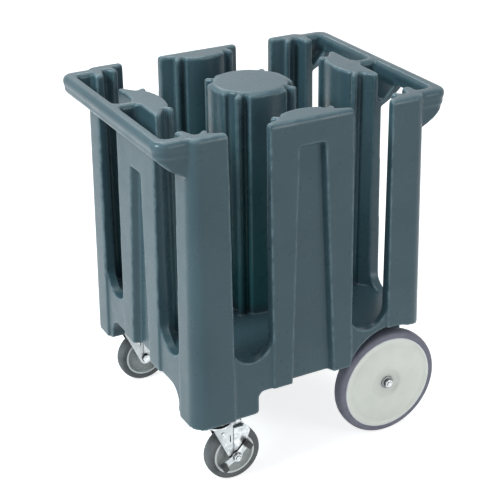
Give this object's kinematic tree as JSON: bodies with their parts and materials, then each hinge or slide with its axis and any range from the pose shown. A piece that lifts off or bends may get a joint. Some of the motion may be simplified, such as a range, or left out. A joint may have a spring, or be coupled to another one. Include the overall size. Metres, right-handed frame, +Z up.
{
  "type": "dish caddy",
  "caption": "Wheeled plate caddy: one-piece moulded body with four open finned plate wells, end handles, large rear wheels and swivel casters with side brakes.",
  "frame": {"origin": "on the floor under the centre of the body", "axes": "+Z up, +X towards the end with the large fixed wheels, +Y to the right seen from the caster end"},
  "size_m": [0.676, 0.5546, 0.806],
  "materials": {
    "body": "slate blue moulded polyethylene with a fine matt texture",
    "wheel_plastic": "light grey moulded wheel",
    "rear_rubber": "grey non-marking rubber tread",
    "caster_rubber": "grey non-marking rubber tread",
    "core_plastic": "grey moulded wheel core",
    "zinc": "bright zinc-plated pressed steel",
    "bright": "bright plated fasteners",
    "nylon": "natural nylon",
    "tab_plastic": "black moulded foot tabs"
  },
  "bodies": {
    "caddy": {"body_shell": "body", "plate_inserts": "zinc", "plate_bolts": "bright", "strap_inserts": "zinc", "strap_bolts": "bright", "axle_straps": "zinc", "axle": "zinc", "spacer_washers": "zinc", "end_washers": "bright", "axle_nuts": "bright", "thrust_washers": "zinc", "kingpin_nuts": "bright", "caster_plate_left": "zinc", "kingpin_left": "bright", "swivel_balls_left": "bright", "caster_plate_right": "zinc", "kingpin_right": "bright", "swivel_balls_right": "bright"},
    "rear_wheel_left": {"rear_wheel_left": "wheel_plastic", "rear_tyre_left": "rear_rubber", "rear_bush_left": "nylon"},
    "caster_fork_left": {"caster_fork_left": "zinc", "caster_axle_left": "bright", "caster_axle_nut_left": "bright", "axle_sleeve_left": "zinc", "shoe_pin_left": "bright"},
    "caster_wheel_left": {"caster_core_left": "core_plastic", "caster_tyre_left": "caster_rubber", "caster_bush_left": "nylon"},
    "brake_lever_left": {"brake_lever_left": "zinc", "brake_tabs_left": "tab_plastic"},
    "brake_shoe_left": {"brake_shoe_left": "zinc"},
    "rear_wheel_right": {"rear_wheel_right": "wheel_plastic", "rear_tyre_right": "rear_rubber", "rear_bush_right": "nylon"},
    "caster_fork_right": {"caster_fork_right": "zinc", "caster_axle_right": "bright", "caster_axle_nut_right": "bright", "axle_sleeve_right": "zinc", "shoe_pin_right": "bright"},
    "caster_wheel_right": {"caster_core_right": "core_plastic", "caster_tyre_right": "caster_rubber", "caster_bush_right": "nylon"},
    "brake_lever_right": {"brake_lever_right": "zinc", "brake_tabs_right": "tab_plastic"},
    "brake_shoe_right": {"brake_shoe_right": "zinc"}
  },
  "joints": [
    {"name": "rear_roll_left", "type": "hinge", "parent": "caddy", "child": "rear_wheel_left", "pos_m": [0.208, -0.241, 0.127], "axis": [0, 1, 0], "continuous": true},
    {"name": "swivel_left", "type": "hinge", "parent": "caddy", "child": "caster_fork_left", "pos_m": [-0.219, -0.238, 0.15], "axis": [0, 0, 1], "continuous": true},
    {"name": "caster_roll_left", "type": "hinge", "parent": "caster_fork_left", "child": "caster_wheel_left", "pos_m": [-0.184, -0.238, 0.0635], "axis": [0, 1, 0], "continuous": true},
    {"name": "brake_rock_left", "type": "hinge", "parent": "caster_fork_left", "child": "brake_lever_left", "pos_m": [-0.184, -0.238, 0.0635], "axis": [0, 1, 0], "range_deg": [0, 30]},
    {"name": "shoe_swing_left", "type": "hinge", "parent": "caster_fork_left", "child": "brake_shoe_left", "pos_m": [-0.214, -0.238, 0.1275], "axis": [0, 1, 0], "range_deg": [0, 1.2]},
    {"name": "rear_roll_right", "type": "hinge", "parent": "caddy", "child": "rear_wheel_right", "pos_m": [0.208, 0.241, 0.127], "axis": [0, 1, 0], "continuous": true},
    {"name": "swivel_right", "type": "hinge", "parent": "caddy", "child": "caster_fork_right", "pos_m": [-0.219, 0.238, 0.15], "axis": [0, 0, 1], "continuous": true},
    {"name": "caster_roll_right", "type": "hinge", "parent": "caster_fork_right", "child": "caster_wheel_right", "pos_m": [-0.184, 0.238, 0.0635], "axis": [0, 1, 0], "continuous": true},
    {"name": "brake_rock_right", "type": "hinge", "parent": "caster_fork_right", "child": "brake_lever_right", "pos_m": [-0.184, 0.238, 0.0635], "axis": [0, 1, 0], "range_deg": [0, 30]},
    {"name": "shoe_swing_right", "type": "hinge", "parent": "caster_fork_right", "child": "brake_shoe_right", "pos_m": [-0.214, 0.238, 0.1275], "axis": [0, 1, 0], "range_deg": [0, 1.2]}
  ],
  "couplings": [
    {"joint": "shoe_swing_left", "follows": "brake_rock_left", "ratio": 0.04},
    {"joint": "shoe_swing_right", "follows": "brake_rock_right", "ratio": 0.04}
  ]
}
